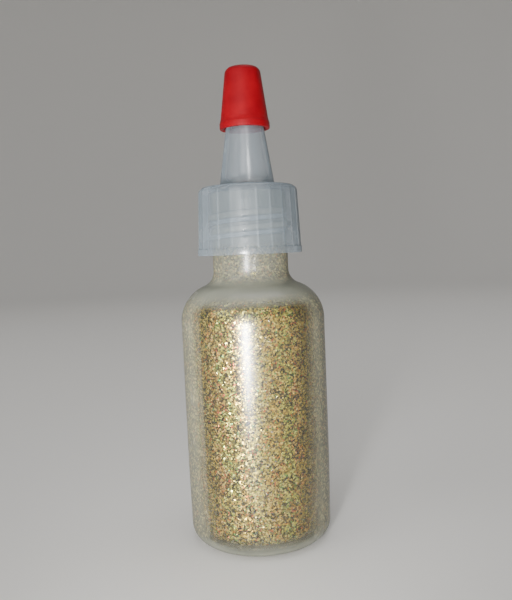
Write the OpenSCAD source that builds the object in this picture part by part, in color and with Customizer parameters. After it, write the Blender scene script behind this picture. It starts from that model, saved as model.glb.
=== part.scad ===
// Squeeze bottle with a screw-on spout cap, a push-on tip cover and a filling of glitter.
// The origin is the middle of the circle the bottle stands on. +Z runs up the bottle's axis.

/* [Bottle] */
// Outside diameter of the body
body_d = 32.8; // [32:0.1:34]
// Height from the table to the lip of the neck
bottle_h = 79.2; // [78.6:0.1:82]
// Height where the straight wall ends and the shoulder starts
wall_top = 50.3; // [47:0.1:50.6]
// Thickness of the blown wall
wall = 1.1; // [0.8:0.05:1.2]
// Thickness of the floor, where the plastic gathers
floor_t = 2.2; // [1.2:0.1:2.8]
// Radius of the rounded shoulder
shoulder_r = 8.7; // [8.2:0.1:9.2]
// Radius of the hollow curve from the shoulder into the neck
neck_fillet = 3.4; // [2.8:0.1:3.6]
// Radius of the rounded heel
heel_r = 3.6; // [2.5:0.1:4.5]
// Outside diameter of the neck between its threads
neck_d = 17.2; // [17:0.05:17.4]
// How far the underside is dished
dish_h = 0.8; // [0.3:0.1:1]

/* [Thread] */
// Rise of the thread in one turn (8 threads per inch)
pitch = 3.175; // [3:0.005:3.3]
// Turns of thread on the neck, and again in the cap
turns = 1.5; // [1:0.25:1.5]
// Diameter over the neck's thread
thread_d = 19.4; // [19.2:0.05:19.5]

/* [Spout cap] */
// Outside diameter of the skirt just above its flange, without the ribs
cap_d = 23.3; // [23:0.1:24]
// Taper of the skirt's radius from bottom to top
cap_taper = 0.5; // [0.2:0.05:0.6]
// Height of the skirt from its flange to the flat top
cap_h = 15.3; // [14.8:0.1:15.5]
// Radius of the skirt's rounded top edge
cap_edge = 1.4; // [0.8:0.1:1.6]
// Number of grip ribs
rib_count = 24; // [18:2:36]
// How far each rib stands out
rib_h = 0.15; // [0.1:0.05:0.25]
// Radius of the spout where it meets the cap
spout_base_r = 6.3; // [6:0.1:6.5]
// Radius of the spout's tip
spout_tip_r = 2.75; // [2.6:0.05:2.9]
// Length of the spout above the cap
spout_h = 23.8; // [23.4:0.1:24.2]
// Diameter of the hole in the tip
orifice_d = 1.6; // [1:0.1:2]

/* [Tip cover] */
// Height of the cover's rim above the cap
cover_gap = 12.8; // [12.4:0.1:13.2]
// Height of the cover
cover_h = 13.6; // [13.2:0.1:14.2]
// Outside radius of the collar round the cover's rim
collar_r = 5.65; // [5.6:0.05:5.9]
// Outside radius of the cover just above the collar
cover_low_r = 5.35; // [5.2:0.05:5.45]
// Outside radius of the cover at the top
cover_top_r = 4.05; // [3.95:0.05:4.2]

/* [Glitter] */
// Height of the settled glitter above the table
fill_top = 54.6; // [40:0.1:55]
// Number of loose flakes that cling to the inside of the neck
flake_count = 64; // [20:4:96]

/* [Hidden] */
$fn = 96;

// Body
body_r = body_d / 2;
neck_r = neck_d / 2;
bore_r = neck_r - wall;
lip_round = 0.3;
// The wall draws in slightly from foot_z down to the heel
foot_in = 0.2;
foot_z = 17;
foot_r = body_r - foot_in;
// The bottle stands on a flat ring between the dish and the heel
stand_w = 3;
dish_r = foot_r - heel_r - stand_w;

// The shoulder's arc is centred at shoulder_x. It meets the fillet where the line between the
// two centres crosses both, at shoulder_a above the horizontal.
shoulder_x = body_r - shoulder_r;
fillet_x = neck_r + neck_fillet;
fillet_rise = sqrt(pow(shoulder_r + neck_fillet, 2) - pow(fillet_x - shoulder_x, 2));
shoulder_a = atan2(fillet_rise, fillet_x - shoulder_x);
fillet_z = wall_top + fillet_rise;

// Threads. Both follow one helix, the cap's a little below the neck's, so that its upper
// flank bears against the neck's lower flank when the cap is tight.
thread_steps = 48;
thread_lead = 8;
thread_least = 0.1;
thread_sink = 0.3;
neck_thread_z = bottle_h - 8.9;
thread_start_a = 180;
cap_thread_drop = 1.35;
thread_foot_w = 1.9;
thread_crest_w = 0.8;
cap_thread_r = neck_r + 0.35;
cap_thread_foot_w = 1.7;
cap_thread_crest_w = 0.7;

// Cap. The plug seal hangs from the top wall into the neck's bore.
seat_gap = 0.05;
cap_seat = bottle_h + seat_gap;
cap_wall = 1.3;
cap_top = cap_seat + cap_wall;
cap_bottom = cap_top - cap_h;
cap_r = cap_d / 2;
cap_top_r = cap_r - cap_taper;
skirt_in_r = thread_d / 2 + 0.3;
skirt_lead = 0.4;
flange_h = 1.5;
flange_out = 0.25;
rib_r = 0.35;
first_rib_a = 9.8;
plug_gap = 0.1;
plug_t = 0.9;
plug_h = 3.5;
plug_lead_w = 0.4;
plug_lead_h = 1;
spout_wall = 1.2;
spout_top = cap_top + spout_h;
spout_foot = 0.4;
tip_round = 0.5;
orifice_l = 1.5;
orifice_funnel_l = 3;

// Tip cover, a loose cone on the spout's cone
cover_bottom = cap_top + cover_gap;
cover_top = cover_bottom + cover_h;
cover_play = 0.12;
cover_lead = 0.4;
cover_edge = 1.45;
collar_h = 1.4;
collar_slope_h = 0.8;
cover_roof_t = 1.1;

// Glitter
fill_gap = 0.1;
heap_h = 0.6;
heap_shoulder_h = 0.15;
heap_shoulder = 0.6;
flake_w = 0.55;
flake_t = 0.12;
flake_gap = 0.12;
golden_a = 137.508;
// Above 1, more of the flakes lie low in the neck
flake_crowding = 1.6;
flake_low = fillet_z - 1.5;
flake_high = bottle_h - 9;

// Points on an arc about [x, y], from angle a to angle b
function arc(x, y, r, a, b, n = 10) =
    [for (i = [0:n]) let (t = a + (b - a) * i / n) [x + r * cos(t), y + r * sin(t)]];

// Points on the dished floor, from the axis to the edge of the dish
function dish(z, n = 6) =
    [for (i = [0:n]) [dish_r * i / n, z + dish_h * (1 - pow(i / n, 2))]];

function spout_r(z) =
    spout_base_r + (spout_tip_r - spout_base_r) * (z - cap_top) / spout_h;

function reversed(list) = [for (i = [len(list) - 1:-1:0]) list[i]];

// Half outline of the bottle's side, moved in by t, from the heel up to the neck
function side(t, floor_z) = concat(
    arc(foot_r - heel_r, floor_z + heel_r - t, heel_r - t, -90, 0, 8),
    [[body_r - t, foot_z]],
    arc(shoulder_x, wall_top, shoulder_r - t, 0, shoulder_a, 16),
    [for (p = arc(fillet_x, fillet_z, neck_fillet + t, shoulder_a + 180, 180, 8))
        if (p[1] > wall_top + (shoulder_r - t) * sin(shoulder_a) + 0.01) p]
);

// Inside radius of the bottle at a height above the heel
function inside_r(z) =
    z >= fillet_z ? bore_r
    : z >= wall_top + (shoulder_r - wall) * sin(shoulder_a)
    ? fillet_x - sqrt(pow(neck_fillet + wall, 2) - pow(fillet_z - z, 2))
    : z > wall_top ? shoulder_x + sqrt(pow(shoulder_r - wall, 2) - pow(z - wall_top, 2))
    : body_r - wall;

// A helical ridge of trapezium section that fades in and out over its first and last steps.
// foot_r is the wall it grows from, and crest_r its edge, outside or inside that wall.
module thread(foot_r, crest_r, z, foot_w, crest_w) {
    out = crest_r > foot_r ? 1 : -1;
    n = round(thread_steps * turns);
    buried_r = foot_r - out * thread_sink;
    points = [
        for (i = [0:n])
        let (a = thread_start_a + 360 * i / thread_steps)
        let (fade = min(1, min(i, n - i) / thread_lead))
        let (edge_r = buried_r + (crest_r - buried_r) * max(thread_least, fade))
        let (mid = z + pitch * i / thread_steps)
        for (p = [[buried_r, -foot_w], [edge_r, -crest_w], [edge_r, crest_w], [buried_r, foot_w]])
        [p[0] * cos(a), p[0] * sin(a), mid + p[1] / 2]
    ];
    sides = [
        for (i = [0:n - 1])
        for (k = [0:3])
        let (m = (k + 1) % 4)
        [4 * i + k, 4 * i + m, 4 * i + 4 + m, 4 * i + 4 + k]
    ];
    ends = [[3, 2, 1, 0], [4 * n, 4 * n + 1, 4 * n + 2, 4 * n + 3]];
    faces = concat(sides, ends);
    polyhedron(points, out > 0 ? faces : [for (f = faces) reversed(f)], convexity = 6);
}

module bottle() {
    lip_z = bottle_h - lip_round;
    outside = concat(
        dish(0),
        side(0, 0),
        arc(neck_r - lip_round, lip_z, lip_round, 0, 90, 3)
    );
    inside = concat(
        dish(floor_t),
        side(wall, floor_t),
        arc(bore_r + lip_round, lip_z, lip_round, 180, 90, 3)
    );
    color([0.84, 0.86, 0.84, 0.55]) {
        rotate_extrude() polygon(concat(outside, reversed(inside)));
        thread(neck_r, thread_d / 2, neck_thread_z, thread_foot_w, thread_crest_w);
    }
}

module grip_rib() {
    length = cap_h - flange_h - cap_edge;
    tilt = atan(cap_taper / length);
    translate([cap_r + rib_h - rib_r, 0, cap_bottom + flange_h])
        rotate([0, -tilt, 0])
            cylinder(r = rib_r, h = length, $fn = 24);
}

module spout_cap() {
    flange_top = cap_bottom + flange_h;
    plug_r = bore_r - plug_gap;
    plug_in_r = plug_r - plug_t;
    fillet_r = spout_base_r + spout_foot;
    outside = concat(
        [[cap_r + flange_out, cap_bottom], [cap_r + flange_out, flange_top], [cap_r, flange_top]],
        arc(cap_top_r - cap_edge, cap_top - cap_edge, cap_edge, 0, 90, 8),
        arc(fillet_r, cap_top + spout_foot, spout_foot, 270, 180, 4),
        arc(spout_tip_r - tip_round, spout_top - tip_round, tip_round, 0, 90, 4)
    );
    inside = [
        [orifice_d / 2, spout_top],
        [orifice_d / 2, spout_top - orifice_l],
        [spout_r(spout_top - orifice_funnel_l) - spout_wall, spout_top - orifice_funnel_l],
        [spout_base_r - spout_wall, cap_top],
        [plug_in_r, cap_seat],
        [plug_in_r, cap_seat - plug_h],
        [plug_r - plug_lead_w, cap_seat - plug_h],
        [plug_r, cap_seat - plug_h + plug_lead_h],
        [plug_r, cap_seat],
        [skirt_in_r, cap_seat],
        [skirt_in_r, cap_bottom + skirt_lead],
        [skirt_in_r + skirt_lead, cap_bottom]
    ];
    color([0.78, 0.84, 0.88, 0.6]) {
        rotate_extrude() polygon(concat(outside, inside));
        for (i = [0:rib_count - 1]) rotate(360 * i / rib_count + first_rib_a) grip_rib();
        thread(skirt_in_r, cap_thread_r, neck_thread_z - cap_thread_drop,
            cap_thread_foot_w, cap_thread_crest_w);
    }
}

module tip_cover() {
    collar_top = cover_bottom + collar_h;
    cavity_top = cover_top - cover_roof_t;
    lead_z = cover_bottom + cover_lead;
    color([0.75, 0.1, 0.14])
        rotate_extrude()
            polygon(concat(
                [
                    [collar_r, cover_bottom],
                    [collar_r, collar_top],
                    [cover_low_r, collar_top + collar_slope_h]
                ],
                arc(cover_top_r - cover_edge, cover_top - cover_edge, cover_edge, 0, 90, 8),
                [
                    [0, cover_top],
                    [0, cavity_top],
                    [spout_r(cavity_top) + cover_play, cavity_top],
                    [spout_r(lead_z) + cover_play, lead_z],
                    [spout_r(lead_z) + cover_play + cover_lead, cover_bottom]
                ]
            ));
}

// Settled glitter, slightly heaped towards the middle
module glitter_fill() {
    edge_z = fill_top - heap_h;
    edge_r = inside_r(edge_z) - fill_gap;
    color([0.72, 0.6, 0.38])
        rotate_extrude()
            polygon(concat(
                dish(floor_t + fill_gap),
                [for (p = side(wall + fill_gap, floor_t + fill_gap)) if (p[1] < edge_z) p],
                [
                    [edge_r, edge_z],
                    [edge_r * heap_shoulder, fill_top - heap_shoulder_h],
                    [0, fill_top]
                ]
            ));
}

// Loose flakes on the inside of the neck, spread by the golden angle
module clinging_flakes() {
    color([0.85, 0.75, 0.45])
        for (i = [0:flake_count - 1]) {
            share = pow((i + 0.5) / flake_count, flake_crowding);
            z = flake_low + (flake_high - flake_low) * share;
            rotate(golden_a * i)
                translate([inside_r(z + flake_w) - flake_gap - flake_t, 0, z])
                    cube([flake_t, flake_w, flake_w], center = true);
        }
}

bottle();
spout_cap();
tip_cover();
glitter_fill();
clinging_flakes();
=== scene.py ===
import math
import random

import bmesh
import bpy
from mathutils import Matrix, Vector, noise


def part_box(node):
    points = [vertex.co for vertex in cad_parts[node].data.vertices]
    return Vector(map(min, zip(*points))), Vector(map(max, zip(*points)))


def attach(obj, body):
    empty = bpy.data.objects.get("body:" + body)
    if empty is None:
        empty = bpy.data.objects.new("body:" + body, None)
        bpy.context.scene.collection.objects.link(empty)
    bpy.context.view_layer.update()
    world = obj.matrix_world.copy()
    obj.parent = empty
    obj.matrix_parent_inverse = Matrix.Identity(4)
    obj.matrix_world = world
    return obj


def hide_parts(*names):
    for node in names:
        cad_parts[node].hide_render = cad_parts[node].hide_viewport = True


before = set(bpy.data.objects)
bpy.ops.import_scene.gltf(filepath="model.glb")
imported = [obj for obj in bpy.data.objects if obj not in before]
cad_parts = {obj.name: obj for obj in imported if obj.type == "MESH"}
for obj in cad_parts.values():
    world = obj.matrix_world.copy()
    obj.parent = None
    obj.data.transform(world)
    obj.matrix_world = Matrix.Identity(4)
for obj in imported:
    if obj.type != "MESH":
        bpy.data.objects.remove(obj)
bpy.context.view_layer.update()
mm = 0.001
print("frame loaded")


# camera: level with the cap's rim, about a hand's length away, tipped down a little and leaning
cameraSpec = {
    "lens": 39.25,  # in millimetres, as is the sensor, which lies along the view's long side
    "sensor": 36,
    "distance": 150.3 * mm,
    "height": 66.3 * mm,
    "pitch": 4.435,  # degrees down
    "yaw": 0.333,
    "roll": -2.462,
    "clipStart": 10 * mm,
    "clipEnd": 20.0,
}


def makeCamera(spec):
    pitch, yaw, roll = (math.radians(spec[k]) for k in ("pitch", "yaw", "roll"))
    ahead = Vector((math.sin(yaw) * math.cos(pitch), math.cos(yaw) * math.cos(pitch), -math.sin(pitch)))
    right = ahead.cross(Vector((0, 0, 1))).normalized()
    up = right.cross(ahead)
    across = right * math.cos(roll) + up * math.sin(roll)
    upright = up * math.cos(roll) - right * math.sin(roll)
    data = bpy.data.cameras.new("camera")
    data.lens = spec["lens"]
    data.sensor_width = spec["sensor"]
    data.clip_start = spec["clipStart"]
    data.clip_end = spec["clipEnd"]
    camera = bpy.data.objects.new("camera", data)
    bpy.context.scene.collection.objects.link(camera)
    turn = Matrix((across, upright, -ahead)).transposed().to_4x4()
    camera.matrix_world = Matrix.Translation((0, -spec["distance"], spec["height"])) @ turn
    bpy.context.scene.camera = camera


makeCamera(cameraSpec)
print("camera made")


# sRGB hex colour to the linear one that a node wants
def linear(hexColour, alpha=1.0):
    parts = [int(hexColour[i:i + 2], 16) / 255 for i in (1, 3, 5)]
    return (*(p / 12.92 if p <= 0.04045 else ((p + 0.055) / 1.055) ** 2.4 for p in parts), alpha)


firstColour, secondColour, mixedColour = 6, 7, 2  # sockets of a Mix node that mixes colours


# adds a node with its settings and links; stops fill a colour ramp, stepped or smooth
def addNode(tree, kind, inputs=None, stops=None, stepped=False, **settings):
    node = tree.nodes.new(kind)
    for key, value in settings.items():
        setattr(node, key, value)
    for key, value in (inputs or {}).items():
        if isinstance(value, bpy.types.NodeSocket):
            tree.links.new(value, node.inputs[key])
        else:
            node.inputs[key].default_value = value
    if stops:
        node.color_ramp.interpolation = "CONSTANT" if stepped else "LINEAR"
        elements = node.color_ramp.elements
        while len(elements) < len(stops):
            elements.new(0.5)
        for element, (place, colour) in zip(elements, stops):
            element.position = place
            element.color = linear(colour)
    return node


def newMaterial(name):
    material = bpy.data.materials.new(name)
    material.use_nodes = True
    tree = material.node_tree
    tree.nodes.clear()
    out = addNode(tree, "ShaderNodeOutputMaterial")
    return material, tree, out


# outlines are lists of radius and height in millimetres; an arc's angles are in degrees
def arcLine(x, z, r, start, end, steps):
    angles = [math.radians(start + (end - start) * i / steps) for i in range(steps + 1)]
    return [(x + r * math.cos(a), z + r * math.sin(a)) for a in angles]


def straight(a, b, steps):
    return [(a[0] + (b[0] - a[0]) * i / steps, a[1] + (b[1] - a[1]) * i / steps) for i in range(steps + 1)]


def dropRepeats(line, closest=1e-4):
    kept = [line[0]]
    for p in line[1:]:
        if math.dist(p, kept[-1]) > closest:
            kept.append(p)
    return kept


# spins a half outline in millimetres, from axis to axis or closed, into a smooth shaded object;
# shape moves a point and returns how milky it is head-on, how much it hazes over edge-on and how
# strongly the specks of flakes show in its haze
def turned(name, line, segments, closed=False, shape=None):
    bm = bmesh.new()
    points = dropRepeats(line)
    verts = [bm.verts.new((r * mm, 0, z * mm)) for r, z in points]
    edges = [bm.edges.new(pair) for pair in zip(verts, verts[1:])]
    if closed:
        edges.append(bm.edges.new((verts[-1], verts[0])))
    bmesh.ops.spin(bm, geom=verts + edges, cent=(0, 0, 0), axis=(0, 0, 1),
                   angle=math.tau, steps=segments, use_merge=True)
    bmesh.ops.remove_doubles(bm, verts=bm.verts, dist=1e-7)
    bmesh.ops.recalc_face_normals(bm, faces=bm.faces)
    bm.normal_update()
    layers = [bm.verts.layers.float.new(layer) for layer in ("milky", "hazing", "showing")]
    for v in bm.verts if shape else ():
        for layer, value in zip(layers, shape(v)):
            v[layer] = value
    mesh = bpy.data.meshes.new(name)
    bm.to_mesh(mesh)
    bm.free()
    mesh.shade_smooth()
    piece = bpy.data.objects.new(name, mesh)
    bpy.context.scene.collection.objects.link(piece)
    return piece


# moves a vertex away from the axis by so many millimetres
def pushOut(v, amount):
    r = math.hypot(v.co.x, v.co.y)
    if r > 1e-6:
        v.co.x *= 1 + amount * mm / r
        v.co.y *= 1 + amount * mm / r


# 0 at start, 1 at end and straight between them; end may be the lower of the two
def ramp(x, start, end):
    return max(0.0, min(1.0, (x - start) / (end - start)))


def eased(x):
    return x * x * (3 - 2 * x)


# height of a helical ridge at this angle and height: 0 at its foot, 1 on its crest
def ridge(angle, z, thread, drop, foot, crest):
    best = 0.0
    for lap in range(2):
        turn = ((angle - math.radians(thread["startAngle"])) % math.tau) / math.tau + lap
        if turn <= thread["turns"]:
            away = abs(z - thread["start"] + drop - thread["pitch"] * turn)
            fade = ramp(min(turn, thread["turns"] - turn), 0, thread["fade"])
            best = max(best, eased(ramp(away, foot, crest)) * fade)
    return best


# corners of the frame's parts, in metres
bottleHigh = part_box("bottle")[1]
capLow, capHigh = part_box("spout_cap")
coverLow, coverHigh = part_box("tip_cover")
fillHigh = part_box("glitter_fill")[1]

# the thread on the neck and the one in the cap, in millimetres, as are the sizes of every piece
thread = {
    "pitch": 3.175,  # 8 threads per inch
    "turns": 1.5,
    "start": bottleHigh.z / mm - 8.9,
    "startAngle": 180,  # degrees round from +X
    "fade": 1 / 6,  # of a turn
    "neckFoot": 0.85,  # half the ridge's width at its foot
    "neckCrest": 0.42,
    "capDrop": 1.35,  # how far the cap's ridge lies below the neck's
    "capFoot": 0.74,
    "capCrest": 0.36,
    "clear": [68.0, 76.2],  # heights between which both threads lie
}


# bottle: blown natural polyethylene, one closed skin with an inside and an outside
bottle = {
    "fillTop": fillHigh.z / mm,
    "radius": bottleHigh.x / mm,
    "lip": bottleHigh.z / mm,
    "wallTop": 50.3,
    "wall": 1.1,
    "floor": 2.2,
    "shoulder": 8.7,
    "fillet": 3.4,
    "heel": 3.6,
    "footIn": 0.2,  # how far the wall draws in towards the heel
    "footTop": 17.0,
    "neck": 8.6,
    "dish": 0.8,
    "dishRadius": 9.6,
    "lipRound": 0.3,
    "threadHeight": 1.1,
    "threadMilk": 0.3,
    "segments": 192,
    "waviness": 0.02,  # how far the blown wall strays from round
    "waveScale": 70,  # per metre, so that a wave is about 14 mm long
    "waveLow": (2, 10),  # heights over which the waves set in
    "waveHigh": (0, -6),  # and die out again, from the foot of the neck
    "seam": 0.05,  # height of the mould's parting line
    "seamMilk": 0.12,  # how much milkier the thicker parting line is
    "seamShow": 0.6,
    "seamAngles": [225, 45],  # degrees round from +X
    "clear": 0.06,  # milkiness head-on where the filling touches the wall
    "veiled": 0.62,  # and where it doesn't, because a milky wall blurs what is farther away
    "clearLow": (0.5, 2.3),  # heights above the floor over which the wall clears
    "clearHigh": (1.0, -1.2),  # and clouds again, from the filling's top
    "fillShow": 0.4,  # strength of the specks beside the filling
    "fillLow": (0, 1.5),  # heights above the floor over which they set in
    "fillHigh": (2.2, -0.3),  # and die out again, from the filling's top
    "neckShow": 0.42,  # and of those in the neck
    "neckLow": (58.5, 60.5),
    "neckHigh": (72, 66),
    "inside": 0.04,  # milkiness of the wall's inside skin
}

shoulderX = bottle["radius"] - bottle["shoulder"]
filletX = bottle["neck"] + bottle["fillet"]
filletRise = math.sqrt((bottle["shoulder"] + bottle["fillet"]) ** 2 - (filletX - shoulderX) ** 2)
shoulderAngle = math.degrees(math.atan2(filletRise, filletX - shoulderX))
filletZ = bottle["wallTop"] + filletRise


def dishLine(z, steps=10):
    shares = [i / steps for i in range(steps + 1)]
    return [(bottle["dishRadius"] * share, z + bottle["dish"] * (1 - share ** 2)) for share in shares]


def sideLine(t, floorZ, wallSteps):
    b = bottle
    foot = b["radius"] - b["footIn"]
    return (
        arcLine(foot - b["heel"], floorZ + b["heel"] - t, b["heel"] - t, -90, 0, 14)
        + straight((foot - t, floorZ + b["heel"]), (b["radius"] - t, b["footTop"]), 6)
        + straight((b["radius"] - t, b["footTop"]), (b["radius"] - t, b["wallTop"]), wallSteps)
        + arcLine(shoulderX, b["wallTop"], b["shoulder"] - t, 0, shoulderAngle, 22)
        + arcLine(filletX, filletZ, b["fillet"] + t, shoulderAngle + 180, 180, 10)
    )


def bottleLine():
    b = bottle
    low, high = thread["clear"]
    bore = b["neck"] - b["wall"]
    outside = (
        dishLine(0)
        + sideLine(0, 0, 24)
        + straight((b["neck"], filletZ), (b["neck"], low), 6)
        + straight((b["neck"], low), (b["neck"], high), 64)
        + arcLine(b["neck"] - b["lipRound"], b["lip"] - b["lipRound"], b["lipRound"], 0, 90, 5)
    )
    inside = (
        dishLine(b["floor"])
        + sideLine(b["wall"], b["floor"], 24)
        + straight((bore, filletZ), (bore, b["lip"] - b["lipRound"]), 8)
        + arcLine(bore + b["lipRound"], b["lip"] - b["lipRound"], b["lipRound"], 180, 90, 5)
    )
    return outside + inside[::-1]


# how milky the wall is at a height: clear only along the filling
def veil(z):
    b = bottle
    along = min(ramp(z - b["floor"], *b["clearLow"]), ramp(z - b["fillTop"], *b["clearHigh"]))
    return b["veiled"] + (b["clear"] - b["veiled"]) * eased(along)


# how strongly the specks of flakes show at a height: beside the filling and in the neck
def showing(z):
    b = bottle
    filling = min(ramp(z - b["floor"], *b["fillLow"]), ramp(z - b["fillTop"], *b["fillHigh"]))
    neck = ramp(z, *b["neckLow"]) * ramp(z, *b["neckHigh"])
    return max(b["fillShow"] * filling, b["neckShow"] * neck)


def bottleShape(v):
    b = bottle
    r, z = math.hypot(v.co.x, v.co.y) / mm, v.co.z / mm
    angle = math.atan2(v.co.y, v.co.x) % math.tau
    low, high = thread["clear"]
    column = round(math.degrees(angle) * b["segments"] / 360)
    seam = any(column == round(s * b["segments"] / 360) for s in b["seamAngles"])
    outward = v.normal.dot(Vector((v.co.x, v.co.y, 0)).normalized())
    under = v.normal.z < -0.7 and z < 1.5
    overLip = v.normal.z > 0.5 and z > b["lip"] - 1
    if not (outward > 0.02 or under or overLip):
        return b["inside"], 0, 0
    if low < z < high and abs(r - b["neck"]) < 0.02:
        rise = ridge(angle, z, thread, 0, thread["neckFoot"], thread["neckCrest"])
        pushOut(v, b["threadHeight"] * rise + (b["seam"] if seam else 0))
        return veil(z) + b["threadMilk"] * rise, 1, 0
    if b["waveLow"][0] < z < filletZ:
        span = ramp(z, *b["waveLow"]) * ramp(z - filletZ, *b["waveHigh"])
        pushOut(v, b["waviness"] * span * noise.noise(v.co * b["waveScale"]))
    if seam and z > 1 and z < b["lip"] - 1:
        pushOut(v, b["seam"])
        return veil(z) + b["seamMilk"], 1, showing(z) * b["seamShow"]
    return veil(z), 1, showing(z)


bottleWall = turned("bottleWall", bottleLine(), bottle["segments"], shape=bottleShape)
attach(bottleWall, "bottle")
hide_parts("bottle")
print("bottle made")


# spout cap: one injection moulding, with skirt, grip ribs, flange, plug ring, inside thread and spout
cap = {
    "bottom": capLow.z / mm,
    "top": bottleHigh.z / mm + 1.35,
    "flange": capHigh.x / mm,
    "flangeHeight": 1.5,
    "skirt": 11.65,
    "taper": 0.5,
    "rimRound": 0.2,
    "ledgeRound": 0.12,  # rounding of the flange's upper edge
    "edge": 1.4,
    "ribs": 24,
    "ribHeight": 0.1,
    "ribWidth": 0.4,
    "firstRib": 9.8,  # degrees round from +X
    "bore": 10.0,
    "threadHeight": 1.05,
    "seat": bottleHigh.z / mm + 0.05,
    "plug": 7.4,
    "plugWall": 0.9,
    "plugLength": 3.5,
    "plugLead": (0.4, 1.0),  # how far the ring's foot draws in, and over what length
    "boreLead": 0.4,
    "spoutBase": 6.3,
    "spoutTip": 2.75,
    "spoutTop": capHigh.z / mm,
    "spoutWall": 1.2,
    "foot": 0.4,
    "tipRound": 0.5,
    "orifice": 0.8,
    "orificeLength": 1.5,
    "tipWall": 0.75,
    "tipLength": 3.0,
    "flat": 0.07,  # how much the panels between the ribs are flattened
    "segments": 384,
    "drawIn": 2.2,  # how strongly the mesh's columns crowd towards the ribs
    "skin": 0.34,  # milkiness of the outside, head-on
    "spoutSkin": 0.26,
    "ribMilk": 0.08,
    "inside": 0.2,
    "threadMilk": 0.5,
}


def capLine():
    c = cap
    low, high = thread["clear"]
    flangeTop = c["bottom"] + c["flangeHeight"]
    skirtTop = c["skirt"] - c["taper"]
    ribEnd = c["top"] - c["edge"]
    rim, ledge, lead = c["rimRound"], c["ledgeRound"], c["boreLead"]
    plugIn, plugRise = c["plugLead"]
    outside = (
        arcLine(c["flange"] - rim, c["bottom"] + rim, rim, -90, 0, 3)
        + arcLine(c["flange"] - ledge, flangeTop - ledge, ledge, 0, 90, 3)
        + [(c["skirt"] + 0.02, flangeTop)]
        + straight((c["skirt"], flangeTop + 0.05), (c["skirt"] - 0.02, flangeTop + 0.3), 2)
        + straight((c["skirt"] - 0.02, flangeTop + 0.3), (skirtTop, ribEnd), 6)
        + arcLine(skirtTop - c["edge"], ribEnd, c["edge"], 0, 90, 12)
        + [(c["spoutBase"] + 2.2, c["top"])]
        + arcLine(c["spoutBase"] + c["foot"], c["top"] + c["foot"], c["foot"], 270, 180, 5)
        + straight((c["spoutBase"] - 0.06, c["top"] + c["foot"]),
                   (c["spoutTip"], c["spoutTop"] - c["tipRound"]), 10)
        + arcLine(c["spoutTip"] - c["tipRound"], c["spoutTop"] - c["tipRound"], c["tipRound"], 0, 90, 5)
    )
    inside = (
        [(c["orifice"], c["spoutTop"]), (c["orifice"], c["spoutTop"] - c["orificeLength"])]
        + straight((c["spoutTip"] - c["tipWall"], c["spoutTop"] - c["tipLength"]),
                   (c["spoutBase"] - c["spoutWall"], c["top"]), 8)
        + [(c["plug"] - c["plugWall"], c["seat"])]
        + [(c["plug"] - c["plugWall"], c["seat"] - c["plugLength"])]
        + [(c["plug"] - plugIn, c["seat"] - c["plugLength"])]
        + [(c["plug"], c["seat"] - c["plugLength"] + plugRise)]
        + [(c["plug"], c["seat"]), (c["bore"], c["seat"])]
        + straight((c["bore"], high), (c["bore"], low), 60)
        + [(c["bore"], c["bottom"] + lead), (c["bore"] + lead, c["bottom"])]
    )
    return outside + inside


# the columns of the mesh are drawn together towards each rib, so that its flanks are crisp
def capShape(v):
    c = cap
    r, z = math.hypot(v.co.x, v.co.y) / mm, v.co.z / mm
    sector = math.tau / c["ribs"]
    share = (math.atan2(v.co.y, v.co.x) / sector + 0.5) % 1 * 2 - 1
    drawn = abs(share) ** c["drawIn"]  # 0 at a rib, 1 halfway to the next
    shift = math.copysign(drawn, share) - share
    v.co = Matrix.Rotation(shift * sector / 2 + math.radians(c["firstRib"]), 3, "Z") @ v.co
    angle = math.atan2(v.co.y, v.co.x) % math.tau
    low, high = thread["clear"]
    if low < z < high and abs(r - c["bore"]) < 0.02:
        rise = ridge(angle, z, thread, thread["capDrop"], thread["capFoot"], thread["capCrest"])
        pushOut(v, -c["threadHeight"] * rise)
        return c["inside"] + c["threadMilk"] * rise, 0, 0
    if r > c["bore"] + 0.5 and z > c["bottom"] + c["flangeHeight"] + 0.02:
        away = drawn * sector / 2 * r
        crown = ramp((away / c["ribWidth"] * 2) ** 2, 1, 0)
        fade = ramp(z, c["top"], c["top"] - c["edge"])
        middle = 1 - (1 - drawn) ** 2
        pushOut(v, (c["ribHeight"] * crown - c["flat"] * middle) * fade)
        return c["skin"] + c["ribMilk"] * crown * fade, 1, 0
    outward = v.normal.dot(Vector((v.co.x, v.co.y, 0)).normalized())
    if z > c["top"] + 0.3:
        return (c["spoutSkin"], 1, 0) if outward > 0.05 else (c["inside"], 0, 0)
    return (c["skin"], 1, 0) if outward > 0.3 or z > c["top"] - 0.05 else (c["inside"], 0, 0)


spoutCap = turned("spoutCap", capLine(), cap["segments"], closed=True, shape=capShape)
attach(spoutCap, "cap")
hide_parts("spout_cap")
print("spout cap made")


# tip cover: red push-on moulding with a thin, slightly flared rim
cover = {
    "bottom": coverLow.z / mm,
    "top": coverHigh.z / mm,
    "collar": coverHigh.x / mm,
    "collarHeight": 1.4,
    "rimRound": 0.18,
    "ledgeRound": 0.15,
    "slope": 0.8,
    "low": 5.35,  # radius just above the collar
    "crown": 4.05,
    "edge": 1.45,
    "play": 0.12,  # between the cover and the spout
    "roof": 1.1,
    "nub": 0.12,  # what is left of the moulding gate, in its shallow dimple
    "segments": 128,
}


def coneRadius(z):
    share = (z - cap["top"]) / (cap["spoutTop"] - cap["top"])
    return cap["spoutBase"] + (cap["spoutTip"] - cap["spoutBase"]) * share


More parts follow.
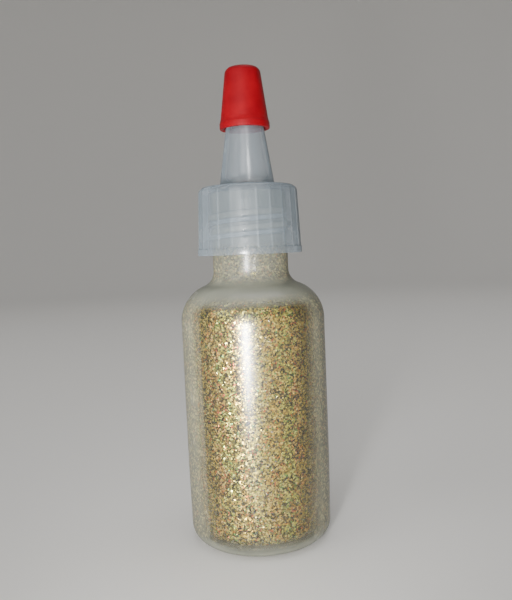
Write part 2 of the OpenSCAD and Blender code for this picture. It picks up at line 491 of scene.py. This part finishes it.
def coverLine():
    c = cover
    collarTop = c["bottom"] + c["collarHeight"]
    rim, ledge = c["rimRound"], c["ledgeRound"]
    outside = (
        arcLine(c["collar"] - rim, c["bottom"] + rim, rim, -90, 0, 4)
        + arcLine(c["collar"] - ledge, collarTop - ledge, ledge, 0, 50, 4)
        + straight((c["low"] + 0.12, collarTop + c["slope"] - 0.3),
                   (c["low"], collarTop + c["slope"] + 0.1), 3)
        + straight((c["low"] - 0.02, collarTop + c["slope"] + 0.3),
                   (c["crown"] + 0.02, c["top"] - c["edge"]), 12)
        + arcLine(c["crown"] - c["edge"], c["top"] - c["edge"], c["edge"], 3, 90, 14)
        + [(1.2, c["top"] - 0.01), (0.8, c["top"] - 0.08), (0.62, c["top"] - 0.06)]
        + [(0.4, c["top"] + c["nub"] - 0.1), (0, c["top"] + c["nub"] - 0.06)]
    )
    cavityTop = c["top"] - c["roof"]
    inside = [(0, cavityTop), (coneRadius(cavityTop) + c["play"], cavityTop)]
    inside += straight(inside[-1], (coneRadius(c["bottom"] + 0.4) + c["play"], c["bottom"] + 0.4), 8)
    inside += [(coneRadius(c["bottom"]) + c["play"] + 0.4, c["bottom"])]
    return inside + outside


tipCover = turned("tipCover", coverLine(), cover["segments"])
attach(tipCover, "tip")
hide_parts("tip_cover")
print("tip cover made")


# settled glitter: a solid column that fills the bottle up into its shoulder
fill = {
    "gap": 0.1,  # between the column and the wall
    "top": fillHigh.z / mm,
    "heap": 0.6,
    "heapShare": 0.8,  # the middle's height, as a share of the heap's
    "rimIn": 0.25,  # how far the heap's foot lies in from the column's side
    "steps": 14,
    "unevenness": 0.35,
    "lumpScale": 260,  # per metre, so that a lump is about 4 mm across
    "segments": 160,
}


def insideLine(gap):
    return dropRepeats(sideLine(bottle["wall"] + gap, bottle["floor"] + gap, 30))


def fillLine():
    edge = fill["top"] - fill["heap"]
    side = [p for p in insideLine(fill["gap"]) if p[1] < edge]
    rim = side[-1][0] - fill["rimIn"]
    rise = fill["heap"] * fill["heapShare"]
    shares = [i / fill["steps"] for i in range(fill["steps"] + 1)]
    crown = [(rim * (1 - x), edge + rise * math.sin(math.pi / 2 * x)) for x in shares]
    return dishLine(bottle["floor"] + fill["gap"]) + side + crown


def fillShape(v):
    z = v.co.z / mm
    if z > fill["top"] - fill["heap"] - 0.05:
        v.co.z += fill["unevenness"] * mm * noise.noise(v.co * fill["lumpScale"])
    return 0, 0, 0


settledGlitter = turned("settledGlitter", fillLine(), fill["segments"], shape=fillShape)
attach(settledGlitter, "bottle")
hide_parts("glitter_fill")
print("glitter column made")


# loose flakes: small hexagonal plates against the inside of the wall
flake = {
    "radius": 0.2,
    "thickness": 0.025,
    "sizes": (0.75, 1.2),  # smallest and largest, as shares of the radius
    "tilt": 24,  # degrees off the wall, at most
    "tiltPower": 1.6,  # above 1, more of them lie nearly flat
    "wallCount": 5200,
    "wallFrom": 2.6,
    "dustCount": 700,  # on the wall above the filling, most of them low down
    "dustTop": 59.0,
    "dustPower": 2.2,
    "neckCount": 260,
    "neckFrom": 60.4,
    "neckTop": 72.5,
    "neckPower": 1.5,
    "boreTop": 73.5,
    "batch": 400,  # flakes made at a time, because a large bmesh is slow to add to
    "seed": 11,
}


def placeFlake(bm, tone, rng, point, normal, size):
    tilt = math.radians(flake["tilt"]) * rng.random() ** flake["tiltPower"]
    off = size * math.sin(tilt) + flake["thickness"]
    spin = Matrix.Rotation(rng.uniform(0, math.tau), 4, "Z")
    toward = off * 9e3  # a large multiple turns each flake's lean its own way
    lean = Matrix.Rotation(tilt, 4, Vector((math.cos(toward), math.sin(toward), 0)))
    face = normal.to_track_quat("Z", "Y").to_matrix().to_4x4()
    place = Matrix.Translation((point - normal * off) * mm)
    made = bmesh.ops.create_cone(bm, cap_ends=True, segments=6, radius1=size * mm, radius2=size * mm,
                                 depth=flake["thickness"] * mm, matrix=place @ face @ lean @ spin)
    value = rng.random()
    for f in {f for v in made["verts"] for f in v.link_faces}:
        f[tone] = value


# line is the wall's inside outline, low and high the heights between which count flakes lie, and
# a power above 1 crowds them towards the low end
def makeFlakes(name, line, low, high, count, power, rng):
    steps = [(a, b, math.dist(a, b)) for a, b in zip(line, line[1:]) if low <= (a[1] + b[1]) / 2 <= high]
    total = sum(s[2] for s in steps)
    mesh = bpy.data.meshes.new(name)
    whole = bmesh.new()
    whole.faces.layers.float.new("tone")
    for start in range(0, count, flake["batch"]):
        bm = bmesh.new()
        tone = bm.faces.layers.float.new("tone")
        for i in range(start, min(start + flake["batch"], count)):
            walk = total * rng.random() ** power
            for a, b, length in steps:
                if walk <= length:
                    break
                walk -= length
            share = min(walk / length, 1)
            r, z = a[0] + (b[0] - a[0]) * share, a[1] + (b[1] - a[1]) * share
            angle = rng.uniform(0, math.tau)
            out = Vector((b[1] - a[1], 0, a[0] - b[0])).normalized()
            turn = Matrix.Rotation(angle, 3, "Z")
            size = flake["radius"] * rng.uniform(*flake["sizes"])
            placeFlake(bm, tone, rng, turn @ Vector((r, 0, z)), turn @ out, size)
        bm.to_mesh(mesh)
        bm.free()
        whole.from_mesh(mesh)
    whole.to_mesh(mesh)
    whole.free()
    piece = bpy.data.objects.new(name, mesh)
    bpy.context.scene.collection.objects.link(piece)
    return piece


rng = random.Random(flake["seed"])
innerWall = insideLine(0)
fillEdge = fill["top"] - fill["heap"]
boreRadius = bottle["neck"] - bottle["wall"]
boreLine = straight((boreRadius, filletZ), (boreRadius, flake["boreTop"]), 20)
wallFlakes = makeFlakes("wallFlakes", innerWall, flake["wallFrom"], fillEdge + 0.3,
                        flake["wallCount"], 1, rng)
dustFlakes = makeFlakes("dustFlakes", innerWall, fillEdge, flake["dustTop"],
                        flake["dustCount"], flake["dustPower"], rng)
neckFlakes = makeFlakes("neckFlakes", innerWall + boreLine, flake["neckFrom"], flake["neckTop"],
                        flake["neckCount"], flake["neckPower"], rng)
for piece, body in ((wallFlakes, "bottle"), (dustFlakes, "bottle"), (neckFlakes, "flakes")):
    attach(piece, body)
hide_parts("clinging_flakes")
print("flakes made")


# low-density polyethylene without pigment, blown for the bottle and injection moulded for the cap:
# milky, hazing over where the eye looks along the wall, with a waxy gloss. The lengths are those of
# the real thing in millimetres: slow clouding of the wall, and the orange peel of its skin
naturalPlastic = {
    "blownPolyethylene": {"light": "#9b9d8f", "dark": "#8a8c7f", "hazeFrom": 0.28, "hazeTo": 0.6,
                          "rough": 0.24, "cloud": 9.0, "peel": 0.8},
    "mouldedPolyethylene": {"light": "#98a4ad", "dark": "#8a969f", "hazeFrom": 0.2, "hazeTo": 0.9,
                            "rough": 0.25, "cloud": 6.0, "peel": 0.5},
}
waxySkin = {
    "roughSpread": 0.04,
    "peelStrength": 0.3,
    "peelDepth": 0.02,
    "speck": 0.36,  # the flakes' own size
    "passed": 0.35,  # share of the scattered light that comes out on the far side
    "glossPower": 5.0,  # how late the gloss rises towards the edge
    "glossFacing": 0.05,
    "glossEdge": 0.6,
}
throughTints = [  # flakes as they look through the milky wall
    (0.0, "#4a4534"), (0.35, "#746c4e"), (0.6, "#a89d6a"),
    (0.8, "#ddd092"), (0.93, "#c48b58"), (0.97, "#9fb070"),
]
noiseLow, noiseHigh = 0.3, 0.7  # between which most values of a noise texture lie


def plasticMaterial(name):
    spec = {**waxySkin, **naturalPlastic[name]}
    material, tree, out = newMaterial(name)
    place = addNode(tree, "ShaderNodeTexCoord").outputs["Object"]
    cloud = addNode(tree, "ShaderNodeTexNoise",
                    {"Vector": place, "Scale": 1 / (spec["cloud"] * mm), "Detail": 3.0, "Roughness": 0.5})
    peel = addNode(tree, "ShaderNodeTexNoise",
                   {"Vector": place, "Scale": 1 / (spec["peel"] * mm), "Detail": 2.0, "Roughness": 0.5})
    colour = addNode(tree, "ShaderNodeValToRGB", {"Fac": cloud.outputs["Fac"]},
                     stops=[(noiseLow, spec["dark"]), (noiseHigh, spec["light"])])
    rough = addNode(tree, "ShaderNodeMapRange",
                    {"Value": cloud.outputs["Fac"], "From Min": noiseLow, "From Max": noiseHigh,
                     "To Min": spec["rough"] - spec["roughSpread"],
                     "To Max": spec["rough"] + spec["roughSpread"]})
    bump = addNode(tree, "ShaderNodeBump",
                   {"Height": peel.outputs["Fac"], "Strength": spec["peelStrength"],
                    "Distance": spec["peelDepth"] * mm})
    # how see-through the wall is: milky head-on, solid where the eye looks along it
    facing = addNode(tree, "ShaderNodeLayerWeight", {"Blend": 0.5}).outputs["Facing"]
    edgeOn = addNode(tree, "ShaderNodeMapRange",
                     {"Value": facing, "From Min": spec["hazeFrom"], "From Max": spec["hazeTo"]},
                     interpolation_type="SMOOTHSTEP")
    milky = addNode(tree, "ShaderNodeAttribute", attribute_name="milky")
    hazing = addNode(tree, "ShaderNodeAttribute", attribute_name="hazing")
    haze = addNode(tree, "ShaderNodeMath", {0: edgeOn.outputs["Result"], 1: hazing.outputs["Fac"]},
                   operation="MULTIPLY")
    solid = addNode(tree, "ShaderNodeMapRange",
                    {"Value": haze.outputs["Value"], "To Min": milky.outputs["Fac"], "To Max": 1.0})
    # the wall's own colour, with dim specks of the flakes that lie close behind it
    cells = addNode(tree, "ShaderNodeTexVoronoi", {"Vector": place, "Scale": 1 / (spec["speck"] * mm)})
    chance = addNode(tree, "ShaderNodeSeparateColor", {"Color": cells.outputs["Color"]})
    speck = addNode(tree, "ShaderNodeValToRGB", {"Fac": chance.outputs["Red"]},
                    stops=throughTints, stepped=True)
    shown = addNode(tree, "ShaderNodeAttribute", attribute_name="showing")
    tinted = addNode(tree, "ShaderNodeMix",
                     {"Factor": shown.outputs["Fac"], firstColour: colour.outputs["Color"],
                      secondColour: speck.outputs["Color"]}, data_type="RGBA")
    front = addNode(tree, "ShaderNodeBsdfDiffuse", {"Color": tinted.outputs[mixedColour]})
    behind = addNode(tree, "ShaderNodeBsdfTranslucent", {"Color": tinted.outputs[mixedColour]})
    body = addNode(tree, "ShaderNodeMixShader",
                   {"Fac": spec["passed"], 1: front.outputs["BSDF"], 2: behind.outputs["BSDF"]})
    gap = addNode(tree, "ShaderNodeBsdfTransparent")
    wall = addNode(tree, "ShaderNodeMixShader",
                   {"Fac": solid.outputs["Result"], 1: gap.outputs["BSDF"], 2: body.outputs["Shader"]})
    # the gloss over it, weak head-on and strong at the edge
    steep = addNode(tree, "ShaderNodeMath", {0: facing, 1: spec["glossPower"]}, operation="POWER")
    gloss = addNode(tree, "ShaderNodeMapRange",
                    {"Value": steep.outputs["Value"], "To Min": spec["glossFacing"],
                     "To Max": spec["glossEdge"]})
    mirror = addNode(tree, "ShaderNodeBsdfAnisotropic",
                     {"Roughness": rough.outputs["Result"], "Normal": bump.outputs["Normal"]})
    skin = addNode(tree, "ShaderNodeMixShader",
                   {"Fac": gloss.outputs["Result"], 1: wall.outputs["Shader"], 2: mirror.outputs["BSDF"]})
    tree.links.new(skin.outputs["Shader"], out.inputs["Surface"])
    return material


# polyethylene pigmented red, injection moulded: an even deep red with a soft gloss, paler and duller
# where it is scuffed. Scuffs are drawn about 0.5 mm across, coarser than real ones, so that they show
redSpec = {
    "deep": "#7a000e",
    "bright": "#920012",
    "worn": "#b0484e",
    "patch": 4.0,  # size of the pigment's slow unevenness
    "scuffSize": 0.5,
    "scuffFrom": 0.68,  # noise value above which the surface is scuffed
    "scuffFull": 0.76,
    "scuffMost": 0.7,
    "rough": 0.46,
    "scuff": 0.62,  # roughness where it is scuffed
    "depth": 0.03,
    "glowDepth": 1.0,  # how far red light travels under the skin
}


def redMaterial(spec):
    material, tree, out = newMaterial("redPolyethylene")
    place = addNode(tree, "ShaderNodeTexCoord").outputs["Object"]
    patch = addNode(tree, "ShaderNodeTexNoise",
                    {"Vector": place, "Scale": 1 / (spec["patch"] * mm), "Detail": 4.0})
    scuffs = addNode(tree, "ShaderNodeTexNoise",
                     {"Vector": place, "Scale": 1 / (spec["scuffSize"] * mm), "Detail": 5.0,
                      "Roughness": 0.7})
    colour = addNode(tree, "ShaderNodeValToRGB", {"Fac": patch.outputs["Fac"]},
                     stops=[(noiseLow, spec["deep"]), (0.75, spec["bright"])])
    wear = addNode(tree, "ShaderNodeMapRange",
                   {"Value": scuffs.outputs["Fac"], "From Min": spec["scuffFrom"],
                    "From Max": spec["scuffFull"], "To Max": spec["scuffMost"]})
    worn = addNode(tree, "ShaderNodeMix",
                   {"Factor": wear.outputs["Result"], firstColour: colour.outputs["Color"],
                    secondColour: linear(spec["worn"])}, data_type="RGBA")
    rough = addNode(tree, "ShaderNodeMapRange",
                    {"Value": scuffs.outputs["Fac"], "From Min": 0.4, "From Max": 0.75,
                     "To Min": spec["rough"], "To Max": spec["scuff"]})
    bump = addNode(tree, "ShaderNodeBump",
                   {"Height": scuffs.outputs["Fac"], "Strength": 0.3, "Distance": spec["depth"] * mm})
    shader = addNode(tree, "ShaderNodeBsdfPrincipled",
                     {"Base Color": worn.outputs[mixedColour], "Roughness": rough.outputs["Result"],
                      "IOR": 1.51, "Specular IOR Level": 0.15, "Normal": bump.outputs["Normal"],
                      "Subsurface Weight": 0.15, "Subsurface Radius": (1.0, 0.25, 0.2),
                      "Subsurface Scale": spec["glowDepth"] * mm})
    tree.links.new(shader.outputs["BSDF"], out.inputs["Surface"])
    return material


# polyester film, embossed with a fine grating, coated with metal and cut into flakes: each one shines in its
# own tint and at its own tilt, with painted shade in the gaps between. The flakes are drawn 0.3 to 0.5 mm
# across, which may be coarser than the real ones, so that they show. The grating is far too fine to draw, so
# the colours it throws with the light are painted as a fixed sheen that stays where it is, palest at the
# front, where the highlight falls
film = {
    "cell": 0.32,  # size of a flake in the settled column
    # painted shade in the gaps between flakes: how wide it is, as a share of a cell, and how dark
    "gap": 0.09,  # width of the dark gap, as a share of a cell
    "gapPaintedShade": 0.35,
    "leanLeast": 0.05,  # how far a flake's face is tipped
    "leanMost": 1.1,
    "settledMetal": 0.65,
    "settledRough": (0.2, 0.45),
    "looseMetal": 0.9,
    "looseRough": (0.18, 0.34),
    "zoneWidth": math.pi / 4,  # an eighth of a turn, after which the zones run back
    "zoneWobble": 0.4,  # radians by which a zone's edge strays
    "zoneWobbleSize": 3.0,
}
filmTints = [
    (0.00, "#2b2716"), (0.16, "#4d4526"), (0.29, "#7b7038"), (0.42, "#a79a48"),
    (0.54, "#d8c658"), (0.68, "#f4e67c"), (0.79, "#fff8ac"), (0.91, "#e09638"),
    (0.935, "#d26e4c"), (0.955, "#9cc055"), (0.98, "#70b478"),
]
# painted sheen: the grating's colours fixed in place, palest at the front where the highlight falls
paintedSheenZones = [  # from the front outwards, as a share of a zone's width
    (0.0, "#fffde8"), (0.2, "#fff2c4"), (0.34, "#ffdfaa"), (0.48, "#f4f8c4"),
    (0.62, "#eef4c0"), (0.72, "#f6cbb2"), (0.84, "#d8c8a2"), (1.0, "#c6b896"),
]


# painted sheen: loose upright zones of the colours that the film's grating throws with the light, fixed in
# place, palest at the front where the highlight falls and again every quarter turn
def addPaintedSheen(tree, place, tint):
    parts = addNode(tree, "ShaderNodeSeparateXYZ", {"Vector": place})
    back = addNode(tree, "ShaderNodeMath", {0: parts.outputs["Y"], 1: -1.0}, operation="MULTIPLY")
    angle = addNode(tree, "ShaderNodeMath",
                    {0: parts.outputs["X"], 1: back.outputs["Value"]}, operation="ARCTAN2")
    wobble = addNode(tree, "ShaderNodeTexNoise",
                     {"Vector": place, "Scale": 1 / (film["zoneWobbleSize"] * mm), "Detail": 2.0})
    stray = addNode(tree, "ShaderNodeMapRange",
                    {"Value": wobble.outputs["Fac"], "To Min": -film["zoneWobble"],
                     "To Max": film["zoneWobble"]})
    loose = addNode(tree, "ShaderNodeMath",
                    {0: angle.outputs["Value"], 1: stray.outputs["Result"]}, operation="ADD")
    swing = addNode(tree, "ShaderNodeMath",
                    {0: loose.outputs["Value"], 1: film["zoneWidth"]}, operation="PINGPONG")
    share = addNode(tree, "ShaderNodeMath",
                    {0: swing.outputs["Value"], 1: film["zoneWidth"]}, operation="DIVIDE")
    zone = addNode(tree, "ShaderNodeValToRGB", {"Fac": share.outputs["Value"]}, stops=paintedSheenZones)
    mixed = addNode(tree, "ShaderNodeMix",
                    {"Factor": 1.0, firstColour: tint, secondColour: zone.outputs["Color"]},
                    data_type="RGBA", blend_type="MULTIPLY")
    return mixed.outputs[mixedColour]


def columnMaterial():
    material, tree, out = newMaterial("settledFilmFlakes")
    place = addNode(tree, "ShaderNodeTexCoord").outputs["Object"]
    cellScale = 1 / (film["cell"] * mm)
    cells = addNode(tree, "ShaderNodeTexVoronoi",
                    {"Vector": place, "Scale": cellScale, "Randomness": 1.0}, feature="F1")
    edge = addNode(tree, "ShaderNodeTexVoronoi",
                   {"Vector": place, "Scale": cellScale, "Randomness": 1.0}, feature="DISTANCE_TO_EDGE")
    parts = addNode(tree, "ShaderNodeSeparateColor", {"Color": cells.outputs["Color"]})
    tint = addNode(tree, "ShaderNodeValToRGB", {"Fac": parts.outputs["Red"]}, stops=filmTints, stepped=True)
    # painted shade, darker towards each flake's edge where the gaps between flakes are
    gap = addNode(tree, "ShaderNodeMapRange",
                  {"Value": edge.outputs["Distance"], "From Min": 0.0, "From Max": film["gap"],
                   "To Min": film["gapPaintedShade"], "To Max": 1.0})
    # each flake's tint under the painted sheen zones, darkened by the painted shade in the gaps
    shade = addNode(tree, "ShaderNodeMix",
                    {"Factor": 1.0, firstColour: addPaintedSheen(tree, place, tint.outputs["Color"]),
                     secondColour: gap.outputs["Result"]}, data_type="RGBA", blend_type="MULTIPLY")
    # every flake's face is tipped its own way, most of them only a little
    normal = addNode(tree, "ShaderNodeNewGeometry").outputs["Normal"]
    swing = addNode(tree, "ShaderNodeVectorMath",
                    {0: cells.outputs["Color"], 1: (0.5, 0.5, 0.5)}, operation="SUBTRACT")
    share = addNode(tree, "ShaderNodeTexWhiteNoise", {"Vector": cells.outputs["Position"]})
    loose = addNode(tree, "ShaderNodeMapRange",
                    {"Value": share.outputs["Value"], "To Min": film["leanLeast"],
                     "To Max": film["leanMost"]})
    lean = addNode(tree, "ShaderNodeVectorMath",
                   {0: swing.outputs["Vector"], "Scale": loose.outputs["Result"]}, operation="SCALE")
    tipped = addNode(tree, "ShaderNodeVectorMath", {0: normal, 1: lean.outputs["Vector"]}, operation="ADD")
    even = addNode(tree, "ShaderNodeVectorMath", {0: tipped.outputs["Vector"]}, operation="NORMALIZE")
    low, high = film["settledRough"]
    rough = addNode(tree, "ShaderNodeMapRange",
                    {"Value": parts.outputs["Green"], "To Min": low, "To Max": high})
    shader = addNode(tree, "ShaderNodeBsdfPrincipled",
                     {"Base Color": shade.outputs[mixedColour], "Metallic": film["settledMetal"],
                      "Roughness": rough.outputs["Result"], "Normal": even.outputs["Vector"]})
    tree.links.new(shader.outputs["BSDF"], out.inputs["Surface"])
    return material


def flakeMaterial():
    material, tree, out = newMaterial("looseFilmFlakes")
    tone = addNode(tree, "ShaderNodeAttribute", attribute_name="tone")
    tint = addNode(tree, "ShaderNodeValToRGB", {"Fac": tone.outputs["Fac"]}, stops=filmTints, stepped=True)
    place = addNode(tree, "ShaderNodeTexCoord").outputs["Object"]
    low, high = film["looseRough"]
    rough = addNode(tree, "ShaderNodeMapRange",
                    {"Value": tone.outputs["Fac"], "To Min": low, "To Max": high})
    # the loose flakes' tints carry the same painted sheen zones
    shader = addNode(tree, "ShaderNodeBsdfPrincipled",
                     {"Base Color": addPaintedSheen(tree, place, tint.outputs["Color"]),
                      "Metallic": film["looseMetal"], "Roughness": rough.outputs["Result"]})
    tree.links.new(shader.outputs["BSDF"], out.inputs["Surface"])
    return material


def paint(piece, material):
    piece.data.materials.clear()
    piece.data.materials.append(material)


paint(bottleWall, plasticMaterial("blownPolyethylene"))
paint(spoutCap, plasticMaterial("mouldedPolyethylene"))
paint(tipCover, redMaterial(redSpec))
paint(settledGlitter, columnMaterial())
filmMaterial = flakeMaterial()
for piece in (wallFlakes, dustFlakes, neckFlakes):
    paint(piece, filmMaterial)
print("materials made")


# plain pale floor and soft light; lengths in metres
studio = {
    "floor": "#e9e7e3",
    "flatRadius": 0.9,
    "curve": 0.6,
    "wallHeight": 1.6,
    "segments": 96,
    "air": "#e8eaee",
    "airStrength": 0.28,
    "lamps": {  # place, size, power in watts and aim
        "front": {"at": (-0.033, -0.155, 0.034), "size": (0.015, 0.046), "power": 0.125, "aim": (0, 0, 0.06),
                  "spread": 75},  # degrees, so that it doesn't burn out the floor beside it
        "broad": {"at": (-0.2, -0.75, 0.3), "size": (0.35, 0.35), "power": 2.0, "aim": (0, 0, 0.05)},
        "left": {"at": (-0.55, -0.35, 0.55), "size": (0.4, 0.4), "power": 0.9, "aim": (0, 0, 0.05)},
        "above": {"at": (0.1, 0.1, 1.1), "size": (0.8, 0.8), "power": 4.0, "aim": (0, 0, 0.0)},
    },
}


# a pale floor that sweeps up into a round wall, so that no horizon cuts the view
def makeStudio(spec):
    bm = bmesh.new()
    line = (
        [(0, 0), (spec["flatRadius"], 0)]
        + arcLine(spec["flatRadius"], spec["curve"], spec["curve"], -90, 0, 16)
        + [(spec["flatRadius"] + spec["curve"], spec["wallHeight"])]
    )
    verts = [bm.verts.new((r, 0, z)) for r, z in dropRepeats(line)]
    edges = [bm.edges.new(pair) for pair in zip(verts, verts[1:])]
    bmesh.ops.spin(bm, geom=verts + edges, cent=(0, 0, 0), axis=(0, 0, 1),
                   angle=math.tau, steps=spec["segments"], use_merge=True)
    bmesh.ops.remove_doubles(bm, verts=bm.verts, dist=1e-6)
    mesh = bpy.data.meshes.new("floor")
    bm.to_mesh(mesh)
    bm.free()
    mesh.shade_smooth()
    floor = bpy.data.objects.new("floor", mesh)
    bpy.context.scene.collection.objects.link(floor)
    # matt painted card: pale and without a pattern, so that it takes no attention
    material, tree, out = newMaterial("paleCard")
    shader = addNode(tree, "ShaderNodeBsdfPrincipled",
                     {"Base Color": linear(spec["floor"]), "Roughness": 0.7})
    tree.links.new(shader.outputs["BSDF"], out.inputs["Surface"])
    paint(floor, material)
    world = bpy.data.worlds.new("air")
    world.use_nodes = True
    sky = world.node_tree.nodes["Background"]
    sky.inputs["Color"].default_value = linear(spec["air"])
    sky.inputs["Strength"].default_value = spec["airStrength"]
    bpy.context.scene.world = world
    for name, lamp in spec["lamps"].items():
        data = bpy.data.lights.new(name, "AREA")
        data.shape = "RECTANGLE"
        data.size, data.size_y = lamp["size"]
        data.energy = lamp["power"]
        data.spread = math.radians(lamp.get("spread", 180))
        light = bpy.data.objects.new(name, data)
        light.location = lamp["at"]
        toward = Vector(lamp["aim"]) - Vector(lamp["at"])
        light.rotation_euler = toward.to_track_quat("-Z", "Y").to_euler()
        light.visible_camera = False
        bpy.context.scene.collection.objects.link(light)


makeStudio(studio)
print("studio made")
